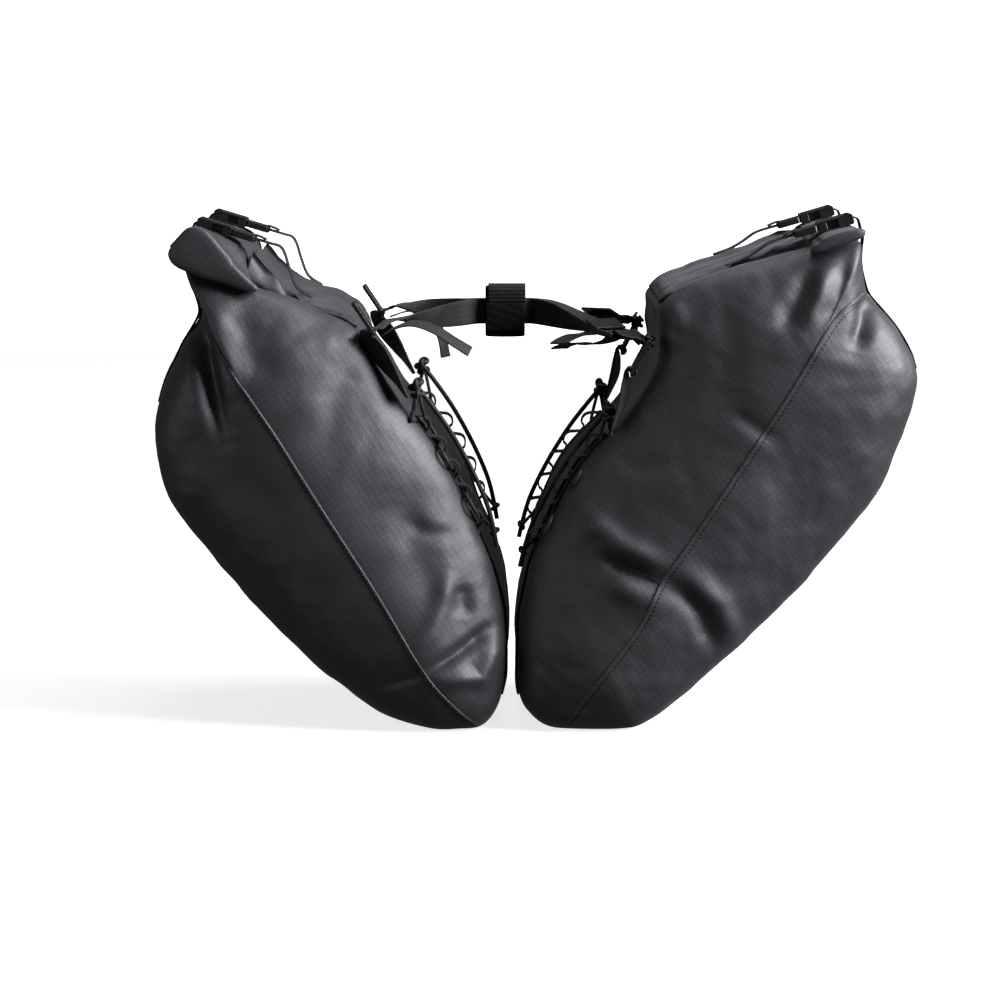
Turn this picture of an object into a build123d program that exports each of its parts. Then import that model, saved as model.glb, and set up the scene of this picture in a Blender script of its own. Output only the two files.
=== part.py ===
"""A pair of soft roll-top saddlebags on a webbing yoke, standing in a V.

Millimetres, +Z up, +X to the right bag, origin on the ground under the middle of the pair.
Each bag is drawn as a side outline in XZ and drawn in towards its two ends along Y.
"""
from build123d import *
import math
import os

os.makedirs("parts", exist_ok=True)

# Driving dimensions
WALL = 2.5              # coated fabric with its lining
CLEAR = 0.4             # air between soft pieces that move past each other
WEB = 1.6               # webbing thickness
WEB_WIDTH = 22.0        # webbing width of the yoke and the tabs
SEAM_TAPE = 1.2         # thickness of the taped lap seam
SEAM_WIDTH = 10.0
END_PROFILE = [(-170, 0.42), (-164, 0.70), (-150, 0.90), (-128, 1.0),
               (128, 1.0), (150, 0.90), (164, 0.70), (170, 0.42)]   # (y, size of the outline there)
MOUTH_HALF = 118.0      # half length of the open mouth
STRAP_Y = 135.0         # where the yoke meets each bag, front and rear
BUCKLE_Y = 100.0        # where the closure straps cross the roll
ROLL_HALF = 150.0
BAR = 3.2               # moulded bar that webbing loops over
LOOP_IN = 2.6           # inside radius of a webbing loop round a bar
LOOP_OUT = LOOP_IN + WEB
LACE_D = 3.0            # lacing cord
TIE_D = 4.0             # long tie cord down each inboard face
LOOP_PITCH = 23.0       # daisy-chain loops
LOOP_COUNT = 5
LOOP_START = 14.0
DAISY_WIDTH = 20.0
DAISY_Y = 115.0
LOOP_R = 5.2            # inside radius of a daisy loop
BASE_LOW, BASE_HIGH = 0.1, 1.5
LACE_OUT = 4.3          # height of the lacing cord above the face
WRAP_X = (-43.0, -9.0)  # grip wrap, from left to right
WRAP_Z = 344.0
WRAP_GAP = 3.5          # the two yoke straps lie this far each side of the middle in the wrap
TWIST_STEPS = 6         # sections of a yoke strap over its quarter turn
EYE_FOLD = 14.0         # from the pivot to the end of the doubled webbing of an eye
LOCK_LENGTH, LOCK_WIDTH = 28.0, 30.0
RING_LENGTH, RING_WIDTH = 32.0, 30.0
BUCKLE_WIDTH, BUCKLE_THICK = 34.0, 9.0
FEMALE_LENGTH = 30.0
MALE_BODY = 20.0        # length of the male half outside the female half
PRONG = 20.0

LEFT = dict(
    name="left", sign=-1, centre=(-165, 190),
    outline=[(-150, 340), (-103, 270), (-42, 160), (-23, 85), (-25, 35), (-42, 0), (-92, 0),
             (-140, 20), (-235, 104), (-300, 188), (-317, 225), (-317, 272), (-300, 318),
             (-283, 350), (-290, 382)],
    seam=((-269, 331), (-58, 0)), face=1, pivot=(-135, 334), hang=(-88, 264),
    tab=[(-6, -7.7), (-6, -5.9), (58, -5.9), (58, -7.7)],
    collar=[(8, 7), (49, 8), (76, 13), (104, 30)], roll=(104.5, 151, 38),
    strap_root=[(20, 8.4), (62, 12)],
)
RIGHT = dict(
    name="right", sign=1, centre=(150, 195),
    outline=[(103, 362), (98, 303), (62, 250), (0, 150), (-14, 92), (-14, 32), (14, 0), (84, 0),
             (138, 38), (236, 138), (300, 222), (317, 278), (313, 306), (274, 366), (270, 410)],
    seam=((271, 371), (24, 0)), face=2, pivot=(92, 327), hang=(78, 300),
    tab=[(28.8, 4.2), (28.8, -4.2), (44, -7), (78, -8.9), (78, -6.9), (46, -3)],
    collar=[(10, 6), (34, 9), (90, 10), (134, 12)], roll=(134.5, 172, 14),
    strap_root=[(36, 9.8)],
)
BAGS = (LEFT, RIGHT)
END_NAMES = {-1: "front", 1: "rear"}


def save(shape, name):
    shape.label = name
    export_step(shape, f"parts/{name}.step")


def side_plane(start, toward, turn, y=0.0):
    """Plane at depth y whose X runs from start to toward; turn is the sign of its normal along Y."""
    run = Vector(toward[0] - start[0], 0, toward[1] - start[1]).normalized()
    return Plane(origin=(start[0], y, start[1]), x_dir=run, z_dir=(0, turn, 0))


def mouth_plane(bag, y=0.0):
    """X runs from the inboard to the outboard end of the mouth, Y points up out of the bag."""
    return side_plane(bag["outline"][0], bag["outline"][-1], -bag["sign"], y)


def mouth_length(bag):
    return math.dist(bag["outline"][0], bag["outline"][-1])


def face_plane(bag, y=0.0):
    """X runs down the straight stretch of the inboard face, Y points out of the bag."""
    top, low = bag["outline"][bag["face"]], bag["outline"][bag["face"] + 1]
    return side_plane(top, low, bag["sign"], y)


def pivot_plane(bag, y=0.0):
    """Through the yoke pivot: X runs down beside the upper inboard face, Y points away from it."""
    return side_plane(bag["pivot"], bag["hang"], bag["sign"], y)


def bag_form(bag, grow):
    """The filled shape of the bag, grown or shrunk by grow all round."""
    cx, cz = bag["centre"]
    with BuildPart() as form:
        for y, size in END_PROFILE:
            with BuildSketch(Plane.XZ.offset(-y - math.copysign(1, y) * grow)):
                with BuildLine():
                    Polyline(*[(cx + size * (x - cx), cz + size * (z - cz)) for x, z in bag["outline"]],
                             close=True)
                make_face()
                if grow:
                    offset(amount=grow, kind=Kind.INTERSECTION)
        loft(ruled=True)
    return form.part


def box_part(x, y, z):
    """A box from three (low, high) pairs."""
    with BuildPart() as block:
        with BuildSketch(Plane.XY.offset(z[0])):
            with Locations(((x[0] + x[1]) / 2, (y[0] + y[1]) / 2)):
                Rectangle(x[1] - x[0], y[1] - y[0])
        extrude(amount=z[1] - z[0])
    return block.part


def skin(bag, low, high):
    """The layer between two growths of the bag's form."""
    with BuildPart() as layer:
        add(bag_form(bag, high))
        add(bag_form(bag, low), mode=Mode.SUBTRACT)
        split(bisect_by=Plane.XY, keep=Keep.TOP)
    return layer.part


def seam_plane(bag):
    """The slanted plane of the end seams; its normal points outboard."""
    (x_top, z_top), (x_low, z_low) = bag["seam"]
    outward = Vector(x_low - x_top, 0, z_low - z_top).cross(Vector(0, bag["sign"], 0))
    return Plane(origin=(x_top, 0, z_top), x_dir=(0, 1, 0), z_dir=outward)


def fabric_panels(bag):
    """The outboard and the inboard half of the shell, cut along the slanted seam."""
    solid, cavity = bag_form(bag, 0), bag_form(bag, -WALL)
    keep = {"outer": Keep.TOP, "inner": Keep.BOTTOM}
    for half, side in keep.items():
        with BuildPart() as panel:
            add(solid)
            split(bisect_by=seam_plane(bag), keep=side)
            add(cavity, mode=Mode.SUBTRACT)
            with BuildSketch(mouth_plane(bag)):
                with Locations((mouth_length(bag) / 2, 0)):
                    Rectangle(mouth_length(bag) - 12, 16)
            extrude(amount=MOUTH_HALF, both=True, mode=Mode.SUBTRACT)
        save(panel.part, f"{bag['name']}_{half}_panel")


def seam_tapes(bag):
    """Taped lap seam that runs round the bag over both ends, sitting on the fabric."""
    with BuildPart() as tape:
        add(skin(bag, 0.05, SEAM_TAPE))
        with BuildSketch(seam_plane(bag)):
            Rectangle(800, 1400)
        extrude(amount=SEAM_WIDTH / 2, both=True, mode=Mode.INTERSECT)
        add(box_part((-400, 400), (-200, 200), (6, 330)), mode=Mode.INTERSECT)
    save(tape.part, f"{bag['name']}_seam_tape")


def back_sheet(bag):
    """Reinforcing sheet over the inboard face, with a bound edge front and rear."""
    z_top = bag["outline"][bag["face"]][1]
    span, height = (-400, 400), (26, z_top - 6)
    with BuildPart() as sheet:
        add(skin(bag, 0.05, 1.4))
        split(bisect_by=seam_plane(bag), keep=Keep.BOTTOM)
        add(box_part(span, (-94, 94), height), mode=Mode.INTERSECT)
    save(sheet.part, f"{bag['name']}_back_sheet")
    with BuildPart() as binding:
        add(skin(bag, 0.05, 2.2))
        split(bisect_by=seam_plane(bag), keep=Keep.BOTTOM)
        add(box_part(span, (-100, 100), height), mode=Mode.INTERSECT)
        add(box_part(span, (-94.05, 94.05), (0, 400)), mode=Mode.SUBTRACT)
    save(binding.part, f"{bag['name']}_back_binding")


def daisy_chain(bag, end):
    """Webbing sewn down the inboard face with a row of standing loops; end is -1 front, 1 rear."""
    length = LOOP_START + LOOP_PITCH * (LOOP_COUNT - 1) + 12
    stations = [(LOOP_START + LOOP_PITCH * i, BASE_HIGH) for i in range(LOOP_COUNT)]
    with BuildPart() as daisy:
        with BuildSketch(face_plane(bag, end * DAISY_Y)):
            with Locations(((length + 2) / 2, (BASE_LOW + BASE_HIGH) / 2)):
                Rectangle(length - 2, BASE_HIGH - BASE_LOW)
            with Locations(*stations):
                Circle(LOOP_R + WEB)
                Circle(LOOP_R, mode=Mode.SUBTRACT)
            with Locations((length / 2, BASE_LOW - 10)):
                Rectangle(length + 20, 20, mode=Mode.SUBTRACT)
            with Locations(((length + 2) / 2, (BASE_LOW + BASE_HIGH) / 2)):
                Rectangle(length - 2, BASE_HIGH - BASE_LOW)
        extrude(amount=DAISY_WIDTH / 2, both=True)
    save(daisy.part, f"{bag['name']}_daisy_{END_NAMES[end]}")


def knotted_cord(points, diameter, first_knot, last_knot):
    """A round cord on straight runs joined by tangent arcs, with a barrel knot at each end."""
    with BuildPart() as cord:
        with BuildLine():
            route = FilletPolyline(*points, radius=corner_radii(points))
        with BuildSketch(Plane(origin=route @ 0, z_dir=route % 0)):
            Circle(diameter / 2)
        sweep(path=route)
        for place, knot in ((0, first_knot), (1, last_knot)):
            inward = route % place if place == 0 else -(route % place)
            with BuildSketch(Plane(origin=route @ place, z_dir=inward)):
                Circle(knot)
            extrude(amount=1.6 * knot)
    print("cord length", round(route.length, 1))
    return cord.part


def corner_radii(points):
    """0.45 of the shorter run over the tangent of half the turn, for each corner."""
    radii = []
    for before, corner, after in zip(points, points[1:], points[2:]):
        first, second = Vector(corner) - Vector(before), Vector(after) - Vector(corner)
        half_turn = math.radians(first.get_angle(second)) / 2
        radii.append(0.45 * min(first.length, second.length) / math.tan(half_turn))
    print("corner radii", [round(radius, 1) for radius in radii])
    return radii


def face_point(bag, down, out, y):
    return tuple(face_plane(bag, y).from_local_coords(Vector(down, out, 0)))


def lace_cord(bag, end):
    """Cord laced from side to side through the loops, from a stopper knot to an end knot."""
    outer, inner = end * (DAISY_Y + 19), end * (DAISY_Y - 17)
    stops = [(LOOP_START + LOOP_PITCH * i) for i in range(LOOP_COUNT)]
    points = [face_point(bag, stops[0] - 20, LACE_OUT + 6, outer)]
    for number, down in enumerate(stops):
        ends = (outer, inner) if number % 2 == 0 else (inner, outer)
        points += [face_point(bag, down, LACE_OUT, y) for y in ends]
    points.append(face_point(bag, stops[-1] + 20, LACE_OUT + 4, inner))
    save(knotted_cord(points, LACE_D, 5.0, 3.5), f"{bag['name']}_lace_{END_NAMES[end]}")


def tie_cord(bag, end):
    """Long cord bowed out from the knot below the tab to its anchor low on the inboard face."""
    y = end * (DAISY_Y + 8)
    stops = [(-14, 12), (16, 17), (50, 18.5), (84, 17), (112, 13), (134, 9)]
    points = [face_point(bag, down, out, y - end * 3 * number) for number, (down, out) in enumerate(stops)]
    save(knotted_cord(points, TIE_D, 5.5, 3.2), f"{bag['name']}_tie_{END_NAMES[end]}")


def ring(bag, end):
    """Moulded rectangular ring beside the upper inboard face; its first bar is the yoke pivot.

    On the left it stands up from the pivot over the bag's edge, on the right it hangs down from it.
    """
    reach = bag["sign"] * (RING_LENGTH / 2 - BAR / 2)
    with BuildPart() as frame:
        with BuildSketch(pivot_plane(bag, end * STRAP_Y)):
            with Locations((reach, 0)):
                Rectangle(RING_LENGTH, BAR)
        extrude(amount=RING_WIDTH / 2, both=True)
        with BuildSketch(pivot_plane(bag, end * STRAP_Y)):
            with Locations((reach, 0)):
                Rectangle(RING_LENGTH - 2 * BAR, 2 * BAR)
        extrude(amount=RING_WIDTH / 2 - BAR, both=True, mode=Mode.SUBTRACT)
        chamfer(frame.edges().filter_by(Axis.Y).sort_by_distance(frame.part.center())[-4:], 0.6)
    save(frame.part, f"{bag['name']}_ring_{END_NAMES[end]}")


def tab(bag, end):
    """Doubled webbing sewn to the upper inboard face; the right one holds the ring by its lower bar."""
    with BuildPart() as webbing:
        with BuildSketch(pivot_plane(bag, end * STRAP_Y)):
            Polygon(*bag["tab"], align=None)
            if bag is RIGHT:
                with Locations((RING_LENGTH - BAR, 0)):
                    Circle(LOOP_OUT)
                    Circle(LOOP_IN, mode=Mode.SUBTRACT)
        extrude(amount=WEB_WIDTH / 2, both=True)
    save(webbing.part, f"{bag['name']}_tab_{END_NAMES[end]}")


def ribbon(stations):
    """Webbing through (centre, along, across, width, thickness) stations."""
    with BuildPart() as band:
        for centre, along, across, width, thickness in stations:
            with BuildSketch(Plane(origin=centre, x_dir=across, z_dir=along)):
                Rectangle(width, thickness)
        loft(ruled=True)
    return band.part


def pivot_loop(bag, end):
    """The eye of webbing round a ring's pivot bar."""
    with BuildPart() as eye:
        with BuildSketch(Plane.XZ.offset(-end * STRAP_Y)):
            with Locations(bag["pivot"]):
                Circle(LOOP_OUT)
                Circle(LOOP_IN, mode=Mode.SUBTRACT)
        extrude(amount=WEB_WIDTH / 2, both=True)
    return eye.part


def blend_points(first, last, part):
    return tuple(a + (b - a) * part for a, b in zip(first, last))


def half_strap(pivot, end, wrap_end, stop):
    """Stations of a yoke strap from near its pivot (part 0) to the wrap, twisting a quarter turn.

    stop is the part of the way from the pivot at which the stretch begins.
    """
    start = (pivot[0], end * STRAP_Y, pivot[1])
    target = (wrap_end, end * WRAP_GAP, WRAP_Z)
    along = Vector(*target) - Vector(*start)
    level = Vector(along.Y, -along.X, 0).normalized()
    if level.Y * end < 0:
        level = -level
    stations = []
    for step in range(TWIST_STEPS + 1):
        part = stop + (0.9 - stop) * step / TWIST_STEPS
        twist = math.radians(90) * step / TWIST_STEPS
        across = level * math.cos(twist) + Vector(0, 0, 1) * math.sin(twist)
        stations.append((blend_points(start, target, part), along, across, WEB_WIDTH, WEB))
    return stations


def lock_frame(end):
    """Plane of the right ladder lock: X runs from its pivot bar along the strap to the wrap."""
    x, z = RIGHT["pivot"]
    start = Vector(x, end * STRAP_Y, z)
    target = Vector(WRAP_X[1] + 12, end * WRAP_GAP, WRAP_Z)
    along = (target - start).normalized()
    level = Vector(along.Y, -along.X, 0).normalized()
    origin = start + along * 34
    return Plane(origin=origin, x_dir=along, z_dir=level)


def yoke_strap(end):
    """One strap of the yoke: a stitched eye on the left pivot, then through the wrap to the lock."""
    left_side = half_strap(LEFT["pivot"], end, WRAP_X[0] - 12, 0.16)
    right_side = half_strap(RIGHT["pivot"], end, WRAP_X[1] + 12, 0.42)
    middle = [((x, end * WRAP_GAP, WRAP_Z), (1, 0, 0), (0, 0, 1), WEB_WIDTH, WEB)
              for x in (WRAP_X[0] - 8, WRAP_X[1] + 8)]
    turned = [(place, -along, across, width, thick)
              for place, along, across, width, thick in reversed(right_side)]
    x, z = LEFT["pivot"]
    fold = x + EYE_FOLD
    with BuildPart() as strap:
        add(pivot_loop(LEFT, end))
        with BuildSketch(Plane.XZ.offset(-end * STRAP_Y)):
            with Locations(((x + LOOP_OUT + fold) / 2 - 0.4, z)):
                Rectangle(fold - x - LOOP_OUT + 0.8, 2 * WEB)
        extrude(amount=WEB_WIDTH / 2, both=True)
        add(ribbon(left_side + middle))
        add(ribbon(middle[-1:] + turned))
    save(strap.part, f"yoke_strap_{END_NAMES[end]}")


def yoke_link(end):
    """Short webbing from the right ring's pivot bar to the ladder lock's bar, an eye at each end."""
    lock = lock_frame(end)
    x, z = RIGHT["pivot"]
    ring_side = ((x - LOOP_OUT + 0.5, end * STRAP_Y, z + 0.6), (-1, 0, 0), (0, end, 0), WEB_WIDTH, 2 * WEB)
    lock_side = (tuple(lock.origin - lock.x_dir * (LOOP_OUT - 0.5)), lock.x_dir, lock.z_dir, WEB_WIDTH, 2 * WEB)
    with BuildPart() as link:
        add(pivot_loop(RIGHT, end))
        add(ribbon([ring_side, lock_side]))
        with BuildSketch(lock):
            Circle(LOOP_OUT)
        extrude(amount=WEB_WIDTH / 2, both=True)
        with BuildSketch(lock):
            Circle(LOOP_IN)
        extrude(amount=WEB_WIDTH / 2, both=True, mode=Mode.SUBTRACT)
    save(link.part, f"yoke_link_{END_NAMES[end]}")


def ladder_lock(end):
    """Moulded adjuster: a pivot bar, a slot, a toothed bar and a lift tab, tilting on the link's eye."""
    lock = lock_frame(end)
    with BuildPart() as frame:
        with BuildSketch(lock):
            with Locations((LOCK_LENGTH / 2 - BAR / 2, 0)):
                Rectangle(LOCK_LENGTH, BAR)
            Polygon((LOCK_LENGTH - 8, 0), (LOCK_LENGTH + 8, 6), (LOCK_LENGTH + 7, 8), (LOCK_LENGTH - 10, 3),
                    align=None)
        extrude(amount=LOCK_WIDTH / 2, both=True)
        with BuildSketch(lock):
            for low, high in ((BAR / 2, 9.0), (12.0, LOCK_LENGTH - 9)):
                with Locations(((low + high) / 2, 0)):
                    Rectangle(high - low, 12)
        extrude(amount=LOCK_WIDTH / 2 - BAR, both=True, mode=Mode.SUBTRACT)
    save(frame.part, f"ladder_lock_{END_NAMES[end]}")


def lock_webbings():
    """The stretch of yoke strap held under each ladder lock, with its free tail below."""
    with BuildPart() as webbing:
        for end in (-1, 1):
            with BuildSketch(lock_frame(end)):
                Polygon((12.2, -3.8), (26, -3.4), (26, -1.9), (12.2, -2.2), align=None)
                Polygon((12.2, -2.4), (14.6, -2.4), (23, -8.6), (44, -14.8), (66, -16.8), (88, -23.8),
                        (88, -25.4), (66, -18.6), (44, -16.6), (22, -10.6), align=None)
            extrude(amount=WEB_WIDTH / 2 - 2, both=True)
    save(webbing.part, "lock_webbing")


def left_tails():
    """Free tails of the yoke straps where they leave the left pivot eyes."""
    x, z = LEFT["pivot"]
    with BuildPart() as tails:
        for end in (-1, 1):
            with BuildSketch(Plane.XZ.offset(-end * (STRAP_Y + 3))):
                Polygon((x + 8, z - 5), (x + 30, z - 7), (x + 52, z - 8), (x + 80, z - 15),
                        (x + 79.4, z - 16.4), (x + 51.6, z - 9.6), (x + 30, z - 8.6), (x + 8, z - 6.6),
                        align=None)
            extrude(amount=WEB_WIDTH / 4, both=True)
    save(tails.part, "left_tails")


def grip_wrap():
    """Padded band round both yoke straps, closed by a hook-and-loop flap on its front."""
    length = WRAP_X[1] - WRAP_X[0]
    with BuildPart() as band:
        with BuildSketch(Plane.YZ.offset(WRAP_X[0])):
            with Locations((0, WRAP_Z)):
                RectangleRounded(19, 44, 7)
                RectangleRounded(12, 26, 3, mode=Mode.SUBTRACT)
        extrude(amount=length)
    save(band.part, "grip_wrap_band")
    with BuildPart() as flap:
        with BuildSketch(Plane.YZ.offset(WRAP_X[0] + 1)):
            with Locations((-10.6, WRAP_Z - 3)):
                Rectangle(2, 28)
        extrude(amount=length - 2)
    save(flap.part, "grip_wrap_flap")


def collar(bag):
    """Folded collar of the roll top, lying on the mouth up to the roll: two layers of fabric."""
    end = bag["roll"][0] - CLEAR
    with BuildPart() as fold:
        with BuildSketch(mouth_plane(bag)):
            Polygon((3, 0.8), (end, 0.8), (end, bag["collar"][-1][1]), *reversed(bag["collar"][:-1]),
                    align=None)
            offset(amount=-WALL, kind=Kind.INTERSECTION, mode=Mode.SUBTRACT)
        extrude(amount=MOUTH_HALF, both=True)
    save(fold.part, f"{bag['name']}_collar")


def roll(bag):
    """The rolled end of the collar, and the stiffening strip that it is rolled round."""
    low, high, top = bag["roll"]
    middle = ((low + high) / 2, (top + 0.8) / 2)
    with BuildPart() as tube:
        with BuildSketch(mouth_plane(bag)):
            with Locations(middle):
                RectangleRounded(high - low, top - 0.8, 0.42 * (top - 0.8))
                Rectangle(26, 4, mode=Mode.SUBTRACT)
        extrude(amount=ROLL_HALF, both=True)
    save(tube.part, f"{bag['name']}_roll")
    with BuildPart() as strip:
        with BuildSketch(mouth_plane(bag)):
            with Locations(middle):
                Rectangle(24, 2.4)
        extrude(amount=ROLL_HALF - 6, both=True)
    save(strip.part, f"{bag['name']}_roll_stiffener")


def buckle_frame(bag, end):
    """Plane of a closure buckle on top of the roll; X runs outboard from the mouth of the female half."""
    plane = mouth_plane(bag, end * BUCKLE_Y)
    high, top = bag["roll"][1], bag["roll"][2]
    origin = plane.from_local_coords(Vector(high - FEMALE_LENGTH, top + CLEAR + BUCKLE_THICK / 2, 0))
    return Plane(origin=origin, x_dir=plane.x_dir, z_dir=plane.z_dir)


def female_buckle(bag, end):
    """Side-release socket with two side windows and a webbing bar at its outboard end."""
    frame = buckle_frame(bag, end)
    with BuildPart() as socket:
        with BuildSketch(frame):
            with Locations((FEMALE_LENGTH / 2, 0)):
                RectangleRounded(FEMALE_LENGTH, BUCKLE_THICK, 2)
        extrude(amount=BUCKLE_WIDTH / 2, both=True)
        with BuildSketch(frame):
            with Locations((PRONG / 2, 0)):
                Rectangle(PRONG + 2, BUCKLE_THICK - 3)
            with Locations((FEMALE_LENGTH - 4.6, 0)):
                Rectangle(3.2, 2 * BUCKLE_THICK)
        extrude(amount=BUCKLE_WIDTH / 2 - 3, both=True, mode=Mode.SUBTRACT)
        with BuildSketch(frame):
            with Locations((12, 0)):
                Rectangle(10, BUCKLE_THICK - 3)
        extrude(amount=BUCKLE_WIDTH, both=True, mode=Mode.SUBTRACT)
    save(socket.part, f"{bag['name']}_buckle_socket_{END_NAMES[end]}")


def male_buckle(bag, end):
    """Pronged half: a guide between two side prongs, and an adjuster slot for the closure strap."""
    frame = buckle_frame(bag, end)
    flat = Plane(origin=frame.origin, x_dir=frame.x_dir, z_dir=frame.y_dir)
    thick = BUCKLE_THICK - 3 - 2 * CLEAR
    with BuildPart() as prongs:
        with BuildSketch(flat):
            with Locations((-MALE_BODY / 2 - CLEAR, 0)):
                RectangleRounded(MALE_BODY, BUCKLE_WIDTH, 3)
            with Locations((PRONG / 2 - 3, 0)):
                Rectangle(PRONG, 4)
            with Locations((PRONG / 2 - 3, BUCKLE_WIDTH / 2 - 6), (PRONG / 2 - 3, 6 - BUCKLE_WIDTH / 2)):
                Rectangle(PRONG, 4)
        extrude(amount=thick / 2, both=True)
        with BuildSketch(frame):
            with Locations((-MALE_BODY / 2 - 2, 0)):
                Rectangle(MALE_BODY + 8, 3.2)
        extrude(amount=BUCKLE_WIDTH / 2 - 5, both=True, mode=Mode.SUBTRACT)
    save(prongs.part, f"{bag['name']}_buckle_prongs_{END_NAMES[end]}")


def inner_closure_strap(bag, end):
    """Webbing sewn to the collar that runs out into the adjuster slot of the pronged half."""
    low, high, top = bag["roll"]
    level = top + CLEAR + BUCKLE_THICK / 2
    tip = high - FEMALE_LENGTH - MALE_BODY + 2
    knee = tip - 34
    half = WEB / 2
    under = [*bag["strap_root"], (knee + half, level - half), (tip, level - half)]
    over = [(tip, level + half), (knee - half, level + half),
            *((x, base + WEB) for x, base in reversed(bag["strap_root"]))]
    with BuildPart() as strap:
        with BuildSketch(mouth_plane(bag, end * BUCKLE_Y)):
            Polygon(*under, *over, align=None)
        extrude(amount=(WEB_WIDTH - 2) / 2, both=True)
    save(strap.part, f"{bag['name']}_closure_strap_{END_NAMES[end]}")


def outer_closure_straps(bag):
    """Webbing sewn to the outboard face, reaching up round the roll to the bars of the sockets."""
    length, mouth = mouth_length(bag), mouth_plane(bag)
    high, top = bag["roll"][1], bag["roll"][2]
    level = top + CLEAR + BUCKLE_THICK / 2
    out = max(high, length) + 2.5
    x_mouth, z_mouth = bag["outline"][-1]
    reach = sorted((x_mouth - bag["sign"] * 12, bag["sign"] * 400))
    with BuildPart() as straps:
        for end in (-1, 1):
            width = (end * BUCKLE_Y - WEB_WIDTH / 2 + 1, end * BUCKLE_Y + WEB_WIDTH / 2 - 1)
            add(box_part(reach, width, (z_mouth - 110, z_mouth + 4)))
        add(skin(bag, 0.1, 0.1 + WEB), mode=Mode.INTERSECT)
        split(bisect_by=Plane(origin=mouth.origin, z_dir=mouth.y_dir), keep=Keep.BOTTOM)
        for end in (-1, 1):
            with BuildSketch(mouth_plane(bag, end * BUCKLE_Y)):
                Polygon((length + 0.1, -2), (length + 0.1, 0.1), (out - WEB, 5), (out - WEB, level - WEB / 2),
                        (high + 0.6, level - WEB / 2), (high + 0.6, level + WEB / 2),
                        (out, level + WEB / 2), (out, 4), (length + 0.1 + WEB, -2), align=None)
            extrude(amount=WEB_WIDTH / 2 - 1, both=True)
    save(straps.part, f"{bag['name']}_outer_straps")


for bag in BAGS:
    fabric_panels(bag)
    seam_tapes(bag)
    back_sheet(bag)
    collar(bag)
    roll(bag)
    outer_closure_straps(bag)
    for end in (-1, 1):
        daisy_chain(bag, end)
        lace_cord(bag, end)
        tie_cord(bag, end)
        ring(bag, end)
        tab(bag, end)
        female_buckle(bag, end)
        male_buckle(bag, end)
        inner_closure_strap(bag, end)
for end in (-1, 1):
    yoke_strap(end)
    yoke_link(end)
    ladder_lock(end)
lock_webbings()
left_tails()
grip_wrap()
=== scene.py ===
"""Looks of the saddlebag pair: coated ripstop shells, roll tops, webbing yoke, cords and hardware.

+X points to the right bag, the front ends are at -Y and +Z is up. Shapes are written in millimetres,
mostly in the XZ plane of each bag, and scaled to metres by MM.
"""
import math

import bmesh
import bpy
import numpy as np
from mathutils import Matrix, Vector, noise
from mathutils.bvhtree import BVHTree


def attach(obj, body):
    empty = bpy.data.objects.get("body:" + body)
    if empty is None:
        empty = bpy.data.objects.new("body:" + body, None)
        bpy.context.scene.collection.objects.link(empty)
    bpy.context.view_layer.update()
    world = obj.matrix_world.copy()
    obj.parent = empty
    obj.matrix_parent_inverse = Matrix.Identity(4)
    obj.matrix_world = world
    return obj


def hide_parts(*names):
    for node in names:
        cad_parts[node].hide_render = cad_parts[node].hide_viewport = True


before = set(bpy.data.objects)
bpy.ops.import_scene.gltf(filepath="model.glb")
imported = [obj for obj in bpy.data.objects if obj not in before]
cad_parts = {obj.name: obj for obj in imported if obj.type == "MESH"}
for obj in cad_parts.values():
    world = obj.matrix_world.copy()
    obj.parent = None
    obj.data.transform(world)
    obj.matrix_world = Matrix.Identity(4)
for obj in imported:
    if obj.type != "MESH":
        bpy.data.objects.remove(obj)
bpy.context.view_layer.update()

MM = 0.001
FRONT, REAR = -1, 1
ENDS = ((FRONT, "front"), (REAR, "rear"))
SIGN = {"left": -1, "right": 1}

# ---------------------------------------------------------------- the two bags, in millimetres
BAGS = {
    "left": dict(
        # mouth inboard corner, down the inboard face, base, up the outboard side, mouth line
        inboard=[(-152, 339), (-139, 319), (-117, 281), (-97, 256), (-80, 233), (-57, 190), (-39, 144),
                 (-29, 110), (-25, 70), (-27, 38), (-34, 16), (-46, 3)],
        base=[(-64, 0.4), (-90, 1.0)],
        outboard=[(-131, 14), (-165, 38), (-195, 64), (-243, 113), (-286, 164), (-306, 194), (-315, 225),
                  (-316, 258), (-309, 292), (-297, 319), (-285, 341), (-281, 354), (-285, 367)],
        mouth=[(-289, 384), (-264, 382), (-238, 373), (-203, 361), (-179, 351)],
        spine=((-244, 294), (-86, 46)),
        seam=[(-272, 338), (-250, 303), (-214, 250), (-174, 186), (-130, 117), (-94, 56), (-70, 26),
              (-48, 5)],
    ),
    "right": dict(
        inboard=[(103, 358), (101, 340), (98, 303), (77, 265), (55, 244), (29, 215), (7, 173),
                 (-2, 148), (-12, 98), (-15, 60), (-14, 28), (-5, 13), (9, 3)],
        base=[(30, 0.4), (72, 0.6)],
        outboard=[(92, 6), (124, 29), (165, 65), (215, 114), (260, 167), (292, 210), (307, 252),
                  (315, 285), (313, 308), (302, 330), (286, 352), (275, 367), (271, 384)],
        mouth=[(271, 408), (257, 411), (220, 402), (186, 392), (135, 377)],
        spine=((232, 324), (54, 50)),
        seam=[(272, 366), (244, 343), (204, 278), (136, 175), (104, 129), (86, 92), (52, 46), (24, 6)],
    ),
}
RIM_Y = 118.0           # where the side walls turn into the ends
END_Y = 168.0           # the middle of a bulging end
MOUTH_Y = 118.0         # half length of the open mouth
AROUND = 420            # points round the outline
CAP_RINGS = 44
WALL_ROWS = 60
SPINE_STEPS = 96        # points down the spine of an end


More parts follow.
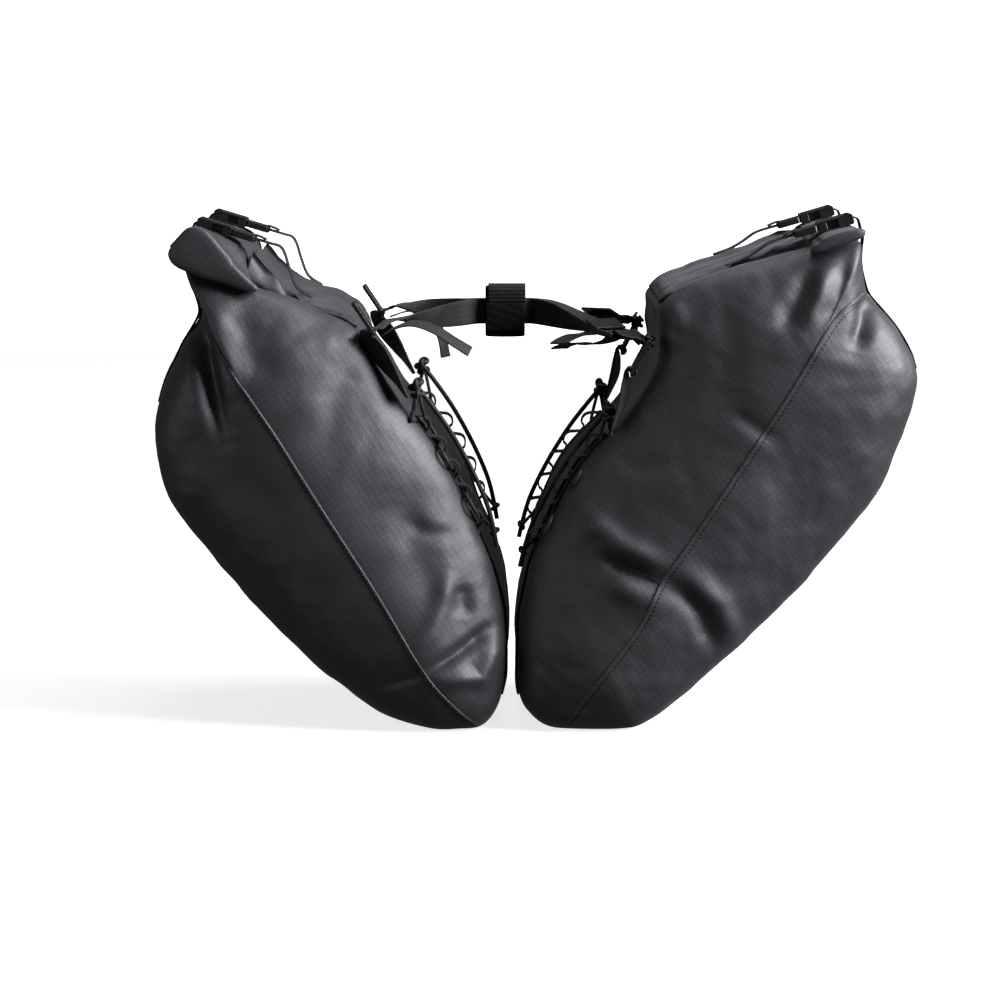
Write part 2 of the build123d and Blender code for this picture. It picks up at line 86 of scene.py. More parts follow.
def mesh_object(name, verts, faces):
    """A mesh object from metre coordinates, shaded smooth."""
    mesh = bpy.data.meshes.new(name)
    mesh.from_pydata([tuple(map(float, v)) for v in verts], [], [tuple(map(int, f)) for f in faces])
    mesh.validate()
    piece = bpy.data.objects.new(name, mesh)
    bpy.context.scene.collection.objects.link(piece)
    mesh.shade_smooth()
    return piece


def finish_piece(piece, body, slot, material, *nodes):
    """Give a piece its material and its body, and hide the CAD nodes that it stands for; the slot is not
    used.
    """
    piece.data.materials.clear()
    piece.data.materials.append(material)
    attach(piece, body)
    if nodes:
        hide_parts(*nodes)
    return piece


def thicken(piece, thick, offset=0):
    """Make a sheet solid: offset 0 grows it both ways, 1 outward and -1 inward."""
    solid = piece.modifiers.new("thickness", "SOLIDIFY")
    solid.thickness, solid.offset = thick * MM, offset
    graph = bpy.context.evaluated_depsgraph_get()
    mesh = bpy.data.meshes.new_from_object(piece.evaluated_get(graph))
    piece.modifiers.clear()
    piece.data = mesh


def spans(pts, count):
    """Points of a Catmull-Rom curve, 24 to a span, over a list already padded at both ends."""
    dense = []
    for p0, p1, p2, p3 in zip(pts, pts[1:], pts[2:], pts[3:]):
        for t in np.linspace(0, 1, 24, endpoint=False):
            dense.append(0.5 * (2 * p1 + (p2 - p0) * t + (2 * p0 - 5 * p1 + 4 * p2 - p3) * t ** 2
                                + (3 * p1 - p0 - 3 * p2 + p3) * t ** 3))
    return resample(np.array(dense + [pts[-2]]), count)


def closed_curve(points, count):
    """A closed smooth curve through the points, resampled evenly."""
    pts = np.array(points, float)
    return spans(np.vstack([pts[-1:], pts, pts[:2]]), count + 1)[:-1]


def open_curve(points, count):
    """An open smooth curve through points of any dimension, resampled evenly."""
    pts = np.array(points, float)
    return spans(np.vstack([2 * pts[0] - pts[1], pts, 2 * pts[-1] - pts[-2]]), count)


def resample(dense, count):
    """Points spaced evenly along a polyline."""
    lengths = np.r_[0, np.cumsum(np.linalg.norm(np.diff(dense, axis=0), axis=1))]
    stops = np.linspace(0, lengths[-1], count)
    return np.stack([np.interp(stops, lengths, dense[:, k]) for k in range(dense.shape[1])], 1)


def polyline_distance(xz, line):
    """Distance of each point to a polyline, and how far along it the nearest point is, from 0 to 1."""
    line = np.array(line, float)
    steps = np.linalg.norm(np.diff(line, axis=0), axis=1)
    total, run = steps.sum(), 0.0
    best = np.full(len(xz), 1e9)
    along = np.zeros(len(xz))
    for a, b, step in zip(line, line[1:], steps):
        t = np.clip(((xz - a) @ (b - a)) / step ** 2, 0, 1)
        d = np.linalg.norm(xz - (a + t[:, None] * (b - a)), axis=1)
        near = d < best
        best = np.where(near, d, best)
        along = np.where(near, (run + t * step) / total, along)
        run += step
    return best, along


# Folds of each bag's ends: (points down the fold, height in mm, width in mm). Below zero is a crease.
FOLDS = {
    "left": [
        ([(-284, 356), (-277, 322), (-266, 276), (-258, 246)], -13, 8),
        ([(-268, 361), (-258, 320), (-246, 275)], 2.2, 11),
        ([(-247, 361), (-234, 322), (-222, 286)], -2.5, 13),
        ([(-71, 138), (-80, 105), (-95, 68)], 5, 9),
        ([(-62, 126), (-58, 98)], -4, 8),
        ([(-92, 54), (-67, 68), (-34, 91)], -6, 6),
        ([(-80, 47), (-46, 48), (-29, 84)], 5, 8),
        ([(-91, 53), (-130, 41)], -2.5, 4),
        ([(-150, 318), (-168, 280), (-172, 240)], -2.5, 12),
        ([(-205, 345), (-200, 300), (-176, 250)], 2.5, 16),
        ([(-300, 230), (-262, 180), (-216, 130)], 3, 22),
        ([(-118, 215), (-100, 165), (-93, 120)], -2.5, 14),
        ([(-60, 170), (-84, 168), (-110, 180)], -2, 7),
    ],
    "right": [
        ([(226, 388), (213, 358), (198, 336)], -5, 8),
        ([(257, 396), (248, 362), (235, 340)], -5, 8),
        ([(240, 392), (231, 362), (217, 338)], 4, 8),
        ([(274, 368), (270, 345), (262, 320)], -8, 8),
        ([(119, 360), (114, 340), (108, 318)], 3.5, 9),
        ([(164, 268), (180, 258), (192, 250)], -3, 6),
        ([(38, 186), (68, 160), (103, 146)], 6, 10),
        ([(54, 149), (80, 138), (104, 130)], -7, 6),
        ([(58, 130), (84, 118), (100, 112)], 4, 9),
        ([(110, 132), (136, 103), (149, 66)], -5, 8),
        ([(124, 134), (152, 110), (168, 76)], 4, 10),
        ([(290, 300), (262, 240), (220, 180)], 3, 22),
        ([(150, 360), (160, 320), (150, 280)], -2.5, 14),
        ([(60, 236), (86, 224), (110, 226)], -2, 9),
    ],
}


def turbulence(points, scale, seed):
    """Smooth noise from -1 to 1 at each point, with features about 1 / scale across."""
    offset = Vector((seed * 7.13, seed * 3.71, seed * 5.37))
    return np.array([noise.noise(Vector(p) * scale + offset) for p in points])


def bag_grid(bag):
    """Rows of outline points from the front end's spine over the walls to the rear end's spine."""
    outline = closed_curve(bag["inboard"] + bag["base"] + bag["outboard"] + bag["mouth"], AROUND)
    a, b = (np.array(p, float) for p in bag["spine"])
    t = np.clip(((outline - a) @ (b - a)) / ((b - a) @ (b - a)), 0.02, 0.98)
    for _ in range(70):                     # no kink in the cloth where the spine ends
        t = (np.roll(t, 1) + 2 * t + np.roll(t, -1)) / 4
    spine = a + t[:, None] * (b - a)
    rows = []
    for ring in range(CAP_RINGS + 1):
        turn = math.pi / 2 * (1 - ring / CAP_RINGS)
        reach = math.cos(turn) ** (2 / 4.2)
        crown = 0.58 * math.sin(turn) ** (2 / 2.6) + 0.42 * (1 - reach ** 1.2)
        depth = RIM_Y + (END_Y - RIM_Y) * crown
        flat = spine + reach * (outline - spine)
        if ring == 0:                       # both halves of an end share the points of its spine
            flat = a + np.round(t * SPINE_STEPS)[:, None] / SPINE_STEPS * (b - a)
        rows.append(np.column_stack([flat[:, 0], np.full(AROUND, -depth), flat[:, 1]]))
    walls = [np.column_stack([outline[:, 0], np.full(AROUND, y), outline[:, 1]])
             for y in np.linspace(-RIM_Y, RIM_Y, WALL_ROWS + 1)[1:-1]]
    rear = [row * (1, -1, 1) for row in reversed(rows)]
    return np.array(rows + walls + rear)


def spine_middle(side):
    """The middle of a bag's spine as a place in metres."""
    x, z = np.array(BAGS[side]["spine"]).mean(0)
    return np.array([x, 0, z]) * MM


def shell(name):
    """The body of one bag with its folds, open along the mouth."""
    bag = BAGS[name]
    flat = bag_grid(bag).reshape(-1, 3)
    keep_faces = []
    start, stop = np.array(bag["inboard"][0], float), np.array(bag["mouth"][0], float)
    length = np.linalg.norm(stop - start)
    along = (stop - start) / length
    up = np.array([-along[1], along[0]]) * SIGN[name]
    for i in range(len(flat) // AROUND - 1):
        for j in range(AROUND):
            k = (j + 1) % AROUND
            quad = (i * AROUND + j, i * AROUND + k, (i + 1) * AROUND + k, (i + 1) * AROUND + j)
            middle = flat[list(quad)].mean(0)
            rel = np.array([middle[0], middle[2]]) - start
            if not (abs(middle[1]) < MOUTH_Y and 4 < rel @ along < length - 4 and rel @ up > -9):
                keep_faces.append(quad)
    piece = mesh_object(f"{name}_shell", flat * MM, keep_faces)
    soften(piece, name)
    return piece


def vertex_arrays(piece):
    """Places and normals of a mesh's points."""
    mesh = piece.data
    co = np.empty(len(mesh.vertices) * 3)
    normal = np.empty(len(mesh.vertices) * 3)
    mesh.vertices.foreach_get("co", co)
    mesh.vertex_normals.foreach_get("vector", normal)
    return co.reshape(-1, 3), normal.reshape(-1, 3)


def soften(piece, name):
    """Weld the spine, face the normals out, then push in the folds and the slack of the cloth."""
    mesh = bmesh.new()
    mesh.from_mesh(piece.data)
    bmesh.ops.remove_doubles(mesh, verts=mesh.verts, dist=0.3 * MM)
    bmesh.ops.triangulate(mesh, faces=mesh.faces)
    bmesh.ops.recalc_face_normals(mesh, faces=mesh.faces)
    mesh.to_mesh(piece.data)
    mesh.free()
    co, normal = vertex_arrays(piece)
    if ((co - spine_middle(name)) * normal).sum() < 0:
        normal = -normal
        piece.data.flip_normals()
    push = np.zeros(len(co))
    xz, y = co[:, [0, 2]] / MM, co[:, 1] / MM
    front = np.clip((-y - 96) / 30, 0, 1)
    rear = np.clip((y - 96) / 30, 0, 1)
    for number, (line, height, width) in enumerate(FOLDS[name]):
        for weight, shift in ((front, 0), (rear, 14)):
            moved = [(x + shift * math.sin(number), z - shift * math.cos(2 * number)) for x, z in line]
            distance, along = polyline_distance(xz, moved)
            fade = np.clip(0.2 + 3.2 * along, 0, 1) * np.clip(0.2 + 3.2 * (1 - along), 0, 1)
            push += weight * fade * height * np.exp(-(distance / width) ** 2)
    floor_guard = np.clip((xz[:, 1] - 4) / 20, 0, 1)
    slack = 2.6 * turbulence(co * (1, 0.8, 1), 14, 1 if name == "left" else 2)
    slack += 1.3 * turbulence(co * (1, 0.6, 1), 34, 3)
    slack += 0.45 * turbulence(co, 90, 4)
    push = (push + slack * floor_guard) * floor_guard
    co = co + normal * push[:, None] * MM
    co[:, 2] = np.maximum(co[:, 2], 0.4 * MM)
    piece.data.vertices.foreach_set("co", co.ravel())
    piece.data.update()


# ---------------------------------------------------------------- materials
def new_material(name, colour, roughness, **settings):
    """A Principled material; settings are other sockets by name, with _ for a space."""
    material = bpy.data.materials.new(name)
    material.use_nodes = True
    shader = material.node_tree.nodes["Principled BSDF"]
    shader.inputs["Base Color"].default_value = (*colour, 1)
    shader.inputs["Roughness"].default_value = roughness
    for key, value in settings.items():
        shader.inputs[key.replace("_", " ")].default_value = value
    return material, material.node_tree, shader


def node(tree, kind, inputs=None, **settings):
    """A shader node with its inputs set or linked, and its own settings."""
    made = tree.nodes.new(kind)
    for key, value in settings.items():
        setattr(made, key, value)
    for key, value in (inputs or {}).items():
        if isinstance(value, bpy.types.NodeSocket):
            tree.links.new(value, made.inputs[key])
        else:
            made.inputs[key].default_value = value
    return made


def math_node(tree, operation, *values):
    """The result of a Math node."""
    return node(tree, "ShaderNodeMath", dict(enumerate(values)), operation=operation).outputs[0]


def speckle(tree, vector, scale, **settings):
    """Noise over a surface, from 0 to 1."""
    return node(tree, "ShaderNodeTexNoise", {"Vector": vector, "Scale": scale, **settings}).outputs["Fac"]


def bump(tree, height, strength, distance, below=None):
    """Relief from a height, on top of the relief below it."""
    inputs = {"Height": height, "Strength": strength, "Distance": distance}
    if below is not None:
        inputs["Normal"] = below
    return node(tree, "ShaderNodeBump", inputs).outputs[0]


def grid_lines(tree, coordinate, pitch, width):
    """1 on thin lines every pitch metres of a coordinate, else 0, with soft flanks."""
    wave = math_node(tree, "PINGPONG", coordinate, pitch)
    return node(tree, "ShaderNodeMapRange", {"Value": wave, "From Min": 0.0,
                "From Max": width, "To Min": 1.0, "To Max": 0.0}).outputs[0]


def vary(tree, shader, vector, colour, scale, spread, roughness, rough_spread):
    """Mottled colour and roughness over a surface."""
    mottle = speckle(tree, vector, scale, Detail=5.0)
    low = tuple(c * (1 - spread) for c in colour)
    high = tuple(c * (1 + spread) for c in colour)
    shade = node(tree, "ShaderNodeMix", {0: mottle, 6: (*low, 1), 7: (*high, 1)}, data_type="RGBA")
    rough = node(tree, "ShaderNodeMapRange", {"Value": mottle, "From Min": 0.3, "From Max": 0.7,
                 "To Min": roughness - rough_spread, "To Max": roughness + rough_spread})
    tree.links.new(rough.outputs[0], shader.inputs["Roughness"])
    tree.links.new(shade.outputs[2], shader.inputs["Base Color"])
    return shade.outputs[2]


def ripstop(name, colour, roughness, crumple_strength=0.13):
    """Coated ripstop: a faint square grid of thicker threads over a fine weave, mottled gloss."""
    material, tree, shader = new_material(name, colour, roughness, Sheen_Weight=0.08, Sheen_Roughness=0.45,
                                          Specular_IOR_Level=0.7)
    shader.inputs["Sheen Tint"].default_value = (0.82, 0.85, 1.0, 1)
    shader.inputs["Specular Tint"].default_value = (0.93, 0.90, 1.0, 1)
    place = node(tree, "ShaderNodeTexCoord").outputs
    lean = (0, math.radians(32), 0)
    turned = node(tree, "ShaderNodeMapping", {"Vector": place["Object"], "Rotation": lean})
    facing = node(tree, "ShaderNodeMapping", {"Vector": place["Normal"], "Rotation": lean},
                  vector_type="NORMAL")
    axes = node(tree, "ShaderNodeSeparateXYZ", {0: turned.outputs[0]})
    tilt = node(tree, "ShaderNodeSeparateXYZ", {0: facing.outputs[0]})
    grid = None
    for k in range(3):
        flat = math_node(tree, "SUBTRACT", 1.0, math_node(tree, "MULTIPLY", tilt.outputs[k], tilt.outputs[k]))
        fade = node(tree, "ShaderNodeMapRange", {"Value": flat, "From Min": 0.25, "From Max": 0.7}).outputs[0]
        line = math_node(tree, "MULTIPLY", grid_lines(tree, axes.outputs[k], 0.0025, 0.0007), fade)
        grid = line if grid is None else math_node(tree, "MAXIMUM", grid, line)
    weave = speckle(tree, place["Object"], 1100.0, Detail=2.0)
    crumple = speckle(tree, place["Object"], 30.0, Detail=4.0, Roughness=0.6, Distortion=0.6)
    relief = bump(tree, crumple, crumple_strength, 0.0035)
    relief = bump(tree, grid, 0.3, 0.0002, relief)
    relief = bump(tree, weave, 0.3, 0.0002, relief)
    tree.links.new(relief, shader.inputs["Normal"])
    shade = vary(tree, shader, place["Object"], colour, 9.0, 0.14, roughness, 0.06)
    threads = node(tree, "ShaderNodeMix", {0: math_node(tree, "MULTIPLY", grid, 0.85), 6: shade,
                   7: (*(c * 0.4 for c in colour), 1)}, data_type="RGBA")
    tree.links.new(threads.outputs[2], shader.inputs["Base Color"])
    return material


def woven_tape(name, colour, roughness, rib=0.0011):
    """Webbing: ribs across the tape and rows along it, from the piece's own metre UVs."""
    material, tree, shader = new_material(name, colour, roughness, Sheen_Weight=0.05, Sheen_Roughness=0.5,
                                          Specular_IOR_Level=0.25)
    place = node(tree, "ShaderNodeTexCoord").outputs
    axes = node(tree, "ShaderNodeSeparateXYZ", {0: place["UV"]})
    zigzag = math_node(tree, "PINGPONG", axes.outputs[0], 0.0022)
    run = math_node(tree, "ADD", axes.outputs[1], math_node(tree, "MULTIPLY", zigzag, 0.6))
    ribs = math_node(tree, "PINGPONG", run, rib)
    rows = math_node(tree, "PINGPONG", axes.outputs[0], 0.0008)
    height = math_node(tree, "ADD", math_node(tree, "MULTIPLY", ribs, 700.0),
                       math_node(tree, "MULTIPLY", rows, 400.0))
    relief = bump(tree, height, 0.5, 0.0004)
    relief = bump(tree, speckle(tree, place["Object"], 1500.0), 0.3, 0.0002, relief)
    tree.links.new(relief, shader.inputs["Normal"])
    vary(tree, shader, place["Object"], colour, 60.0, 0.3, roughness, 0.08)
    return material


def fine_cloth(name, colour, roughness, grain, strength, sheen=0.3, gloss=0.3):
    """A matt cloth or cord with a fine grain."""
    material, tree, shader = new_material(name, colour, roughness, Sheen_Weight=sheen, Sheen_Roughness=0.5,
                                          Specular_IOR_Level=gloss)
    place = node(tree, "ShaderNodeTexCoord").outputs
    weave = node(tree, "ShaderNodeTexVoronoi", {"Vector": place["Object"], "Scale": grain})
    relief = bump(tree, weave.outputs["Distance"], strength, 0.0004)
    tree.links.new(relief, shader.inputs["Normal"])
    vary(tree, shader, place["Object"], colour, 40.0, 0.3, roughness, 0.06)
    return material


def moulded(name, colour, roughness):
    """Moulded plastic with softened edges, a fine grain and a slightly uneven gloss."""
    material, tree, shader = new_material(name, colour, roughness)
    place = node(tree, "ShaderNodeTexCoord").outputs
    edges = node(tree, "ShaderNodeBevel", {"Radius": 0.0008}, samples=6)
    relief = bump(tree, speckle(tree, place["Object"], 1400.0), 0.15, 0.0002, edges.outputs[0])
    tree.links.new(relief, shader.inputs["Normal"])
    vary(tree, shader, place["Object"], colour, 120.0, 0.2, roughness, 0.07)
    return material


FABRIC = ripstop("coated_ripstop", (0.0125, 0.0118, 0.0138), 0.57)
LINING = ripstop("collar_ripstop", (0.0115, 0.0108, 0.0118), 0.58, 0.2)
BACKING = fine_cloth("back_panel_cloth", (0.006, 0.006, 0.0063), 0.8, 1100.0, 0.4, 0.08)
BINDING = fine_cloth("edge_binding", (0.005, 0.005, 0.0052), 0.7, 1600.0, 0.4, 0.08)
WEBBING = woven_tape("woven_webbing", (0.0062, 0.0060, 0.0064), 0.6)
CORD = fine_cloth("braided_cord", (0.006, 0.006, 0.0064), 0.55, 1300.0, 0.6, 0.08)
THREAD = fine_cloth("stitching_thread", (0.004, 0.004, 0.004), 0.5, 3000.0, 0.3, 0.0)
WRAP_CLOTH = fine_cloth("wrap_cloth", (0.0030, 0.0030, 0.0032), 0.8, 1500.0, 0.3, 0.0, 0.08)
HOOK_TAPE = fine_cloth("hook_tape", (0.0042, 0.0042, 0.0045), 0.6, 900.0, 0.9, 0.02, 0.2)
PLASTIC = moulded("moulded_plastic", (0.0055, 0.0055, 0.006), 0.32)
STRIP_PLASTIC = moulded("stiffener_strip", (0.03, 0.03, 0.033), 0.5)

# ---------------------------------------------------------------- frames on the bags
MOUTH = {"left": ((-150, 340), (-290, 382)), "right": ((103, 362), (270, 410))}
FACE = {"left": ((-103, 270), (-42, 160)), "right": ((62, 250), (0, 150))}
PIVOT = {"left": ((-135, 334), (-88, 264)), "right": ((92, 327), (78, 300))}
STRAP_Y, BUCKLE_Y, DAISY_Y = 135.0, 100.0, 115.0


class Flat:
    """A frame in XZ: along from start to toward, out to the side that turn says."""

    def __init__(self, ends, turn):
        self.start = np.array(ends[0], float)
        run = np.array(ends[1], float) - self.start
        self.along = run / np.linalg.norm(run)
        self.out = turn * np.array([self.along[1], -self.along[0]])

    def spot(self, s, t, y):
        x, z = self.start + s * self.along + t * self.out
        return np.array([x, y, z])

    def way(self, s, t, y=0.0):
        x, z = s * self.along + t * self.out
        return np.array([x, y, z])


MOUTHS = {side: Flat(ends, -SIGN[side]) for side, ends in MOUTH.items()}
FACES = {side: Flat(ends, SIGN[side]) for side, ends in FACE.items()}
PIVOTS = {side: Flat(ends, SIGN[side]) for side, ends in PIVOT.items()}


def loft(name, rings, closed=True, caps=True, uv=None, loop=False):
    """A mesh through rings of points in millimetres; uv gives each point's place on the cloth in mm."""
    rings = np.array(rings, float)
    n, m = rings.shape[:2]
    faces = []
    for i in range(n if loop else n - 1):
        below, above = i * m, ((i + 1) % n) * m
        for j in range(m if closed else m - 1):
            k = (j + 1) % m
            faces.append((below + j, below + k, above + k, above + j))
    if caps:
        faces += [tuple(range(m - 1, -1, -1)), tuple(range((n - 1) * m, n * m))]
    piece = mesh_object(name, rings.reshape(-1, 3) * MM, faces)
    mesh = bmesh.new()
    mesh.from_mesh(piece.data)
    bmesh.ops.recalc_face_normals(mesh, faces=mesh.faces)
    mesh.to_mesh(piece.data)
    mesh.free()
    if uv is not None:
        flat = np.array(uv, float).reshape(-1, 2) * MM
        layer = piece.data.uv_layers.new(name="weave")
        index = np.empty(len(piece.data.loops), int)
        piece.data.loops.foreach_get("vertex_index", index)
        layer.data.foreach_set("uv", flat[index].ravel())
    return piece


def webbing(name, stations, width, thick=1.6, steps=48):
    """A woven tape through (centre, across) stations, with slightly thicker selvages."""
    spread = np.array([np.r_[centre, 12 * np.array(across, float) / np.linalg.norm(across)]
                       for centre, across in stations])
    line = open_curve(spread, steps)
    centre, across = line[:, :3], line[:, 3:]
    along = np.gradient(centre, axis=0)
    along /= np.linalg.norm(along, axis=1)[:, None]
    across = across - np.einsum("ij,ij->i", across, along)[:, None] * along
    across /= np.linalg.norm(across, axis=1)[:, None]
    up = np.cross(along, across)
    half, high = width / 2, thick / 2
    xs = [-half, -half + 0.35, -half + 1.6, -half / 2, 0, half / 2, half - 1.6, half - 0.35, half]
    ts = [0, 0.85 * high, high, 0.78 * high, 0.78 * high, 0.78 * high, high, 0.85 * high, 0]
    xs, ts = np.array(xs + xs[-2:0:-1]), np.array(ts + [-t for t in ts[-2:0:-1]])
    run = np.r_[0, np.cumsum(np.linalg.norm(np.diff(centre, axis=0), axis=1))]
    rings = centre[:, None] + xs[None, :, None] * across[:, None] + ts[None, :, None] * up[:, None]
    uv = np.stack(np.broadcast_arrays(xs[None, :], run[:, None]), -1)
    return loft(name, rings, uv=uv)


def cord(name, points, diameter, cyclic=False):
    """A cord as one smooth NURBS line through control points in millimetres."""
    data = bpy.data.curves.new(name, "CURVE")
    data.dimensions = "3D"
    line = data.splines.new("NURBS")
    line.points.add(len(points) - 1)
    for point, place in zip(line.points, points):
        point.co = (*(np.array(place, float) * MM), 1)
    line.order_u = 3
    line.use_endpoint_u = not cyclic
    line.use_cyclic_u = cyclic
    line.resolution_u = 10
    data.bevel_depth = diameter / 2 * MM
    data.bevel_resolution = 3
    data.use_fill_caps = not cyclic
    piece = bpy.data.objects.new(name, data)
    bpy.context.scene.collection.objects.link(piece)
    return piece


def strap_piece(name, body, nodes, stations, width, thick, steps=48):
    """A finished tape on a body, standing for CAD nodes."""
    return finish_piece(webbing(name, stations, width, thick, steps), body, "webbing", WEBBING, *nodes)


def cord_piece(name, side, nodes, points, diameter):
    """A finished cord on a bag."""
    return finish_piece(cord(name, points, diameter), f"{side}_bag", "cord", CORD, *nodes)


def join(name, parts):
    """One mesh piece out of several curve or mesh pieces, which go away."""
    merged = bmesh.new()
    graph = bpy.context.evaluated_depsgraph_get()
    for part in parts:
        mesh = bpy.data.meshes.new_from_object(part.evaluated_get(graph))
        merged.from_mesh(mesh)
        bpy.data.objects.remove(part)
    piece = mesh_object(name, [], [])
    merged.to_mesh(piece.data)
    merged.free()
    piece.data.shade_smooth()
    return piece


class Skin:
    """Ray casts on to a finished shell, in millimetres."""

    def __init__(self, piece):
        mesh = piece.data
        self.tree = BVHTree.FromPolygons([v.co.copy() for v in mesh.vertices],
                                         [tuple(p.vertices) for p in mesh.polygons])

    def hit(self, point, direction, lift=0.0):
        """The first surface point from point along direction, lifted off the cloth, and its normal."""
        way = Vector(direction).normalized()
        place, normal, _, _ = self.tree.ray_cast(Vector(point) * MM, way, 0.9)
        if place is None:
            return None, None
        if normal.dot(way) > 0:
            normal = -normal
        return np.array(place) / MM + lift * np.array(normal), np.array(normal)


# ---------------------------------------------------------------- sewing
def stitches(name, line, normals, pitch=3.8, length=2.7, width=0.8, height=0.4):
    """Thread stitches along a line on the cloth, as one mesh of small capped humps."""
    line, normals = np.array(line), np.array(normals)
    run = np.r_[0, np.cumsum(np.linalg.norm(np.diff(line, axis=0), axis=1))]
    verts, faces = [], []
    for middle in np.arange(pitch, run[-1] - pitch / 2, pitch):
        stops = middle + length * np.array([-0.5, -0.3, 0.3, 0.5])
        place = np.stack([np.interp(stops, run, line[:, k]) for k in range(3)], 1)
        normal = np.array([np.interp(middle, run, normals[:, k]) for k in range(3)])
        normal /= np.linalg.norm(normal)
        side = np.cross(normal, place[-1] - place[0])
        side /= np.linalg.norm(side)
        base = len(verts)
        for centre, wide, tall in zip(place, (0.25, 0.5, 0.5, 0.25), (0.1, 1, 1, 0.1)):
            for u, v in ((-1, -0.4), (-0.7, 0.7), (0, 1), (0.7, 0.7), (1, -0.4)):
                verts.append(centre + side * u * wide * width + normal * v * tall * height)
        for i in range(3):
            for j in range(5):
                k = (j + 1) % 5
                faces.append((base + 5 * i + j, base + 5 * i + k, base + 5 * i + 5 + k, base + 5 * i + 5 + j))
        faces += [tuple(base + j for j in range(4, -1, -1)), tuple(base + 15 + j for j in range(5))]
    return mesh_object(name, np.array(verts) * MM, faces)


def seams(side, skin):
    """The lap seam down both ends: a raised lap with one crisp edge and a row of stitches beside it."""
    line = open_curve(BAGS[side]["seam"], 190)
    step = np.gradient(line, axis=0)
    step /= np.linalg.norm(step, axis=1)[:, None]
    lap_side = np.column_stack([-step[:, 1], step[:, 0]])
    gap, lift_off = (-1.5, 0.8) if side == "left" else (3.0, 0.1)       # of the stitches
    offsets, lifts = [-2.8, -1.8, -0.7, 0, 0.35], [-0.6, 0.4, 0.75, 0.7, -0.6]
    laps, threads = [], []
    for end, label in ENDS:
        rings, row, normals = [], [], []
        for (x, z), (ax, az) in zip(line, lap_side):
            ring = []
            for offset, lift in zip(offsets, lifts):
                place, _ = skin.hit((x + ax * offset, end * 400, z + az * offset), (0, -end, 0), lift)
                ring.append(place)
            stitch, normal = skin.hit((x + ax * gap, end * 400, z + az * gap), (0, -end, 0), lift_off)
            if stitch is None or any(p is None for p in ring):
                continue
            rings.append(ring)
            row.append(stitch)
            normals.append(normal)
        laps.append(loft(f"lap_{label}", rings, closed=False, caps=False))
        threads.append(stitches(f"row_{label}", row, normals))
    lap = join(f"{side}_lap_seam", laps)
    thicken(lap, 0.5)
    finish_piece(lap, f"{side}_bag", "seam_fabric", FABRIC, f"{side}_seam_tape")
    finish_piece(join(f"{side}_seam_stitches", threads), f"{side}_bag", "seam_fabric", THREAD)


def patch(name, shell_piece, side, keep, lift, thick, material, slot, *nodes):
    """A sheet sewn over part of a shell: its faces that keep accepts, lifted off and thickened."""
    mesh = bmesh.new()
    mesh.from_mesh(shell_piece.data)
    mesh.normal_update()
    drop = [f for f in mesh.faces if not keep(np.array(f.calc_center_median()) / MM, f.normal)]
    bmesh.ops.delete(mesh, geom=drop, context="FACES")
    for vert in mesh.verts:
        vert.co += vert.normal * lift * MM
    piece = mesh_object(name, [], [])
    mesh.to_mesh(piece.data)
    mesh.free()
    thicken(piece, thick, 1)
    piece.data.shade_smooth()
    return finish_piece(piece, f"{side}_bag", slot, material, *nodes)


def back_panels(side, thin):
    """The reinforcing sheet on the inboard face and its bound edges."""
    a, b = (np.array(p, float) for p in BAGS[side]["spine"])
    top = 264 if side == "left" else 244

    def inboard(middle):
        rel = middle[[0, 2]] - a
        across = rel[0] * (b - a)[1] - rel[1] * (b - a)[0]
        return across * SIGN[side] > 0 and 26 < middle[2] < top

    patch(f"{side}_back_panel", thin, side, lambda c, n: abs(c[1]) < 95 and inboard(c) and abs(n.y) < 0.5,
          0.3, 1.0, BACKING, "back_fabric", f"{side}_back_sheet")
    patch(f"{side}_back_edges", thin, side, lambda c, n: 91 < abs(c[1]) < 102 and inboard(c),
          0.5, 1.7, BINDING, "binding", f"{side}_back_binding")


# ---------------------------------------------------------------- roll tops
ROLLS = {"left": (104.5, 151, 38), "right": (134.5, 172, 14)}
COLLARS = {
    "left": dict(
        top=[(-1.5, -3), (2, 2), (8, 5.5), (22, 8.0), (38, 8.4), (54, 7.5), (70, 10.5), (86, 18), (100, 28)],
        tucks=[([(52, -118), (66, -96), (92, -70)], -7, 7), ([(70, -118), (80, -100), (98, -88)], 4, 6),
               ([(44, -100), (60, -62), (92, -34)], -5, 7), ([(40, -60), (66, -22), (96, 4)], 4, 8),
               ([(60, 20), (80, 50), (98, 66)], -5, 8), ([(48, 70), (70, 96), (94, 112)], 4, 8),
               ([(14, -118), (22, -70), (16, -20)], 2.2, 12), ([(30, 40), (36, 80), (26, 118)], 2, 10)]),
    "right": dict(
        top=[(-2, -4), (2, 1.4), (8, 4.0), (20, 6.5), (40, 8.0), (66, 8.2), (90, 8.6), (112, 9.8),
             (131, 11.5)],
        tucks=[([(20, -118), (60, -108), (118, -112)], -4.5, 8), ([(50, -96), (84, -60), (124, -30)], -4, 8),
               ([(64, -118), (80, -70), (84, -30)], 3, 7), ([(30, -30), (70, 6), (120, 20)], -3.5, 8),
               ([(40, 50), (80, 70), (120, 100)], 3.5, 9), ([(96, -118), (104, -84), (112, -50)], 2.5, 6)]),
}


